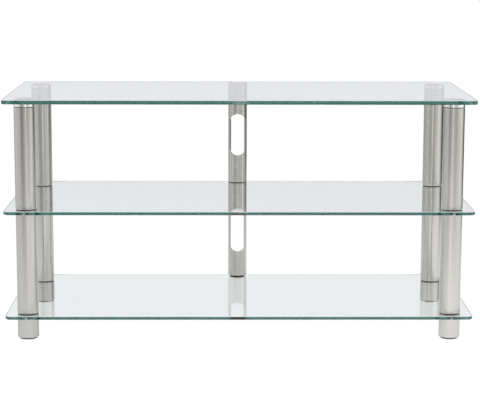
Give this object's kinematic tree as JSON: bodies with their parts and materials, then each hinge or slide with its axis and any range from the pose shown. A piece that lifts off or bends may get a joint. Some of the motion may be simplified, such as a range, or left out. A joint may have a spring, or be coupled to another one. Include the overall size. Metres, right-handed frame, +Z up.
{
  "type": "audio equipment rack",
  "caption": "Low glass audio rack: clear shelves clamped between round satin metal legs on levelling feet, with a slotted cable column behind.",
  "frame": {"origin": "on the floor, at the centre of the rack's bounding box, whose back lies behind the glass at the cable column", "axes": "+X along the long side, to the right as seen from the front; -Y the front; +Z up"},
  "size_m": [1.1, 0.4935, 0.57],
  "materials": {
    "clear_glass": "clear toughened float glass with ground and polished edges, green seen edge-on",
    "satin_steel": "fine satin, slightly warm grey",
    "polished_steel": "polished bright",
    "zinc_steel": "zinc plated, dull",
    "black_rubber": "black, matt",
    "black_nylon": "black, moulded, slightly satin"
  },
  "bodies": {
    "rack": {"bottom_shelf": "clear_glass", "middle_shelf": "clear_glass", "top_shelf": "clear_glass", "front_left_foot": "satin_steel", "front_left_foot_washer": "black_rubber", "front_left_lower_washer": "black_rubber", "front_left_lower_end_ring": "polished_steel", "front_left_lower_tube": "satin_steel", "front_left_lower_tube_gasket": "black_rubber", "front_left_upper_washer": "black_rubber", "front_left_upper_end_ring": "polished_steel", "front_left_upper_tube": "satin_steel", "front_left_top_disc": "polished_steel", "front_left_tie_rod": "zinc_steel", "front_right_foot": "satin_steel", "front_right_foot_washer": "black_rubber", "front_right_lower_washer": "black_rubber", "front_right_lower_end_ring": "polished_steel", "front_right_lower_tube": "satin_steel", "front_right_lower_tube_gasket": "black_rubber", "front_right_upper_washer": "black_rubber", "front_right_upper_end_ring": "polished_steel", "front_right_upper_tube": "satin_steel", "front_right_top_disc": "polished_steel", "front_right_tie_rod": "zinc_steel", "rear_left_foot": "satin_steel", "rear_left_foot_washer": "black_rubber", "rear_left_lower_washer": "black_rubber", "rear_left_lower_end_ring": "polished_steel", "rear_left_lower_tube": "satin_steel", "rear_left_lower_tube_gasket": "black_rubber", "rear_left_upper_washer": "black_rubber", "rear_left_upper_end_ring": "polished_steel", "rear_left_upper_tube": "satin_steel", "rear_left_top_disc": "polished_steel", "rear_left_tie_rod": "zinc_steel", "rear_right_foot": "satin_steel", "rear_right_foot_washer": "black_rubber", "rear_right_lower_washer": "black_rubber", "rear_right_lower_end_ring": "polished_steel", "rear_right_lower_tube": "satin_steel", "rear_right_lower_tube_gasket": "black_rubber", "rear_right_upper_washer": "black_rubber", "rear_right_upper_end_ring": "polished_steel", "rear_right_upper_tube": "satin_steel", "rear_right_top_disc": "polished_steel", "rear_right_tie_rod": "zinc_steel", "bottom_shelf_cable_insert": "black_nylon", "lower_cable_tube": "satin_steel", "middle_shelf_cable_insert": "black_nylon", "upper_cable_tube": "satin_steel", "cable_tube_top_gasket": "black_rubber"},
    "front_left_pad": {"front_left_foot_pad": "black_nylon"},
    "front_left_screw": {"front_left_levelling_screw": "zinc_steel"},
    "front_right_pad": {"front_right_foot_pad": "black_nylon"},
    "front_right_screw": {"front_right_levelling_screw": "zinc_steel"},
    "rear_left_pad": {"rear_left_foot_pad": "black_nylon"},
    "rear_left_screw": {"rear_left_levelling_screw": "zinc_steel"},
    "rear_right_pad": {"rear_right_foot_pad": "black_nylon"},
    "rear_right_screw": {"rear_right_levelling_screw": "zinc_steel"}
  },
  "joints": [
    {"name": "front_left_foot_travel", "type": "slide", "parent": "rack", "child": "front_left_pad", "axis": [0, 0, -1], "range_m": [0, 0.01]},
    {"name": "front_left_screw_turn", "type": "hinge", "parent": "front_left_pad", "child": "front_left_screw", "pos_m": [-0.5, -0.20284, 0.02], "axis": [0, 0, -1], "range_deg": [0, 2880]},
    {"name": "front_right_foot_travel", "type": "slide", "parent": "rack", "child": "front_right_pad", "axis": [0, 0, -1], "range_m": [0, 0.01]},
    {"name": "front_right_screw_turn", "type": "hinge", "parent": "front_right_pad", "child": "front_right_screw", "pos_m": [0.5, -0.20284, 0.02], "axis": [0, 0, -1], "range_deg": [0, 2880]},
    {"name": "rear_left_foot_travel", "type": "slide", "parent": "rack", "child": "rear_left_pad", "axis": [0, 0, -1], "range_m": [0, 0.01]},
    {"name": "rear_left_screw_turn", "type": "hinge", "parent": "rear_left_pad", "child": "rear_left_screw", "pos_m": [-0.5, 0.16516, 0.02], "axis": [0, 0, -1], "range_deg": [0, 2880]},
    {"name": "rear_right_foot_travel", "type": "slide", "parent": "rack", "child": "rear_right_pad", "axis": [0, 0, -1], "range_m": [0, 0.01]},
    {"name": "rear_right_screw_turn", "type": "hinge", "parent": "rear_right_pad", "child": "rear_right_screw", "pos_m": [0.5, 0.16516, 0.02], "axis": [0, 0, -1], "range_deg": [0, 2880]}
  ],
  "couplings": [
    {"joint": "front_left_screw_turn", "follows": "front_left_foot_travel", "rad_per_m": 5026.5},
    {"joint": "front_right_screw_turn", "follows": "front_right_foot_travel", "rad_per_m": 5026.5},
    {"joint": "rear_left_screw_turn", "follows": "rear_left_foot_travel", "rad_per_m": 5026.5},
    {"joint": "rear_right_screw_turn", "follows": "rear_right_foot_travel", "rad_per_m": 5026.5}
  ]
}
